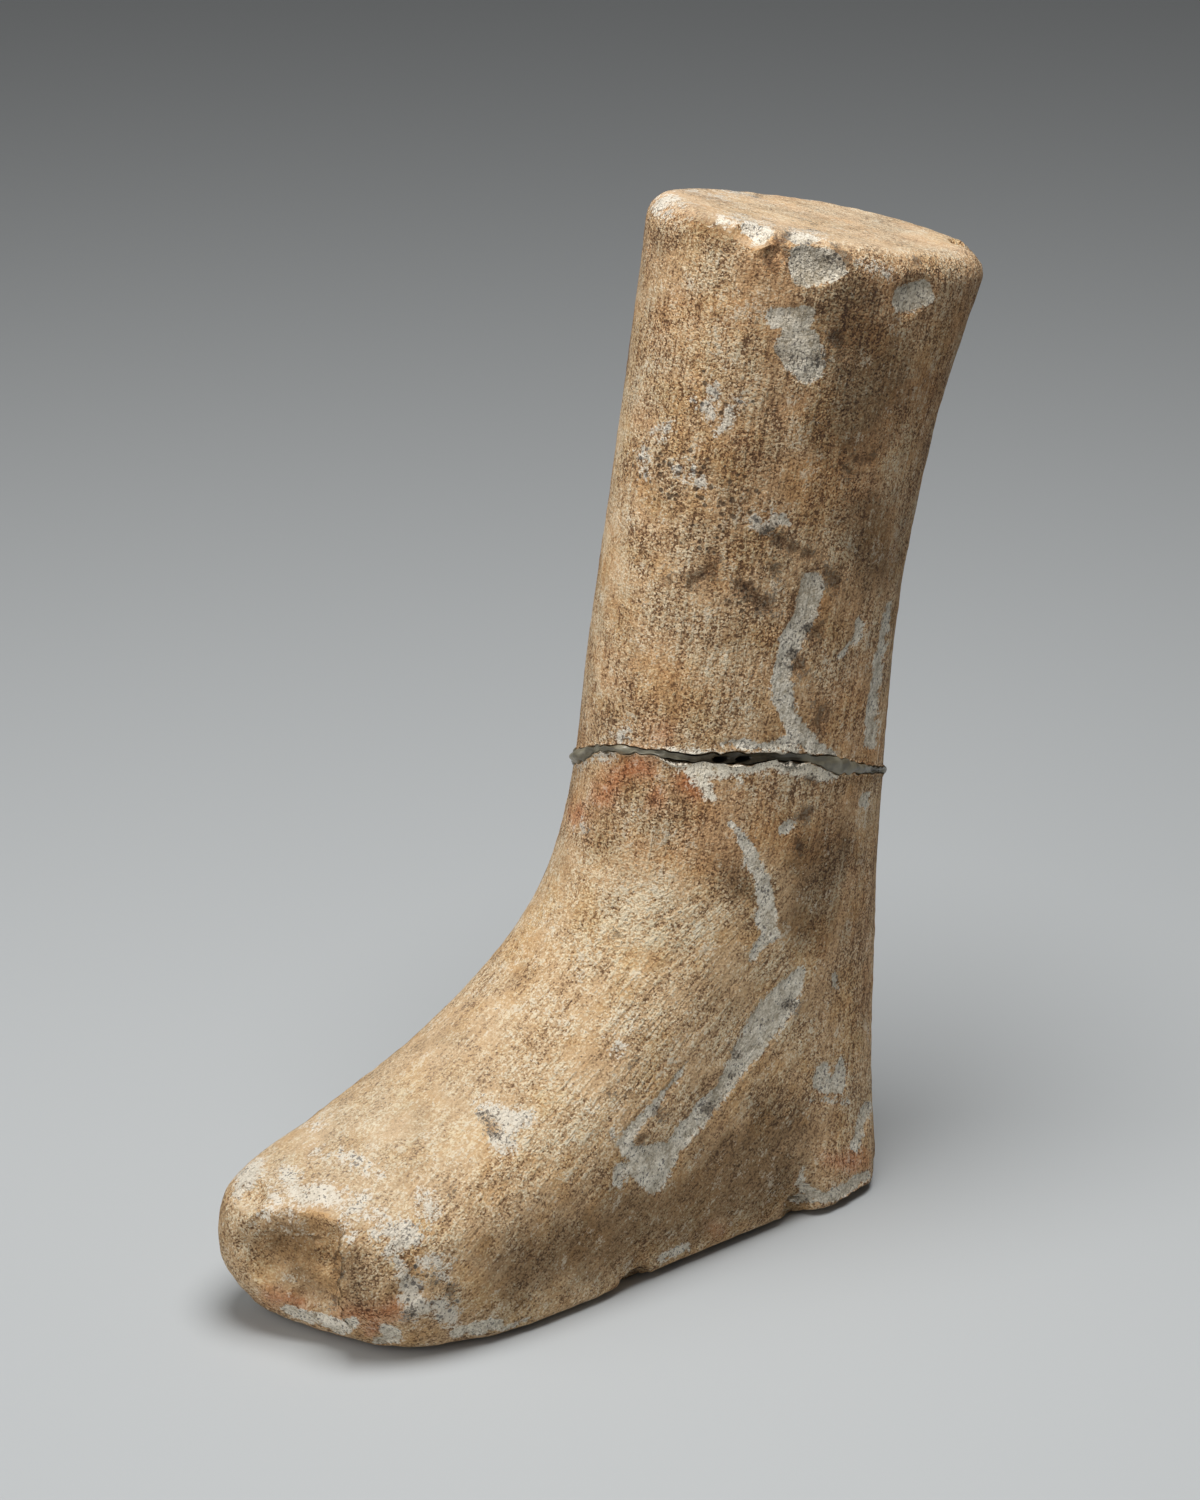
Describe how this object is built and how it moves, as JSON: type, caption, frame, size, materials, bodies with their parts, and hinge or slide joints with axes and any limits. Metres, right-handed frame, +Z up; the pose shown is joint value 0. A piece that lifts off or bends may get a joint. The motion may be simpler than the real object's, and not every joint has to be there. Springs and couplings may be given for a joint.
{
  "type": "votive leg",
  "caption": "Votive left foot and shin carved in stone, cut flat at the top, broken across the shin and joined with grey adhesive.",
  "frame": {"origin": "on the sole under the ankle, at ground level", "axes": "+Z up along the shin, -Y towards the toes, +X towards the outer side of the left foot"},
  "size_m": [0.0863, 0.2586, 0.31],
  "materials": {
    "stone": "rasped soft limestone with ochre burial patina, pale fresh chips and pitting",
    "adhesive": "grey-olive restoration adhesive, slightly glossy, squeezed out in beads"
  },
  "bodies": {
    "root": {"foot": "stone", "joint_adhesive": "adhesive", "leg_shaft": "stone"}
  },
  "joints": []
}
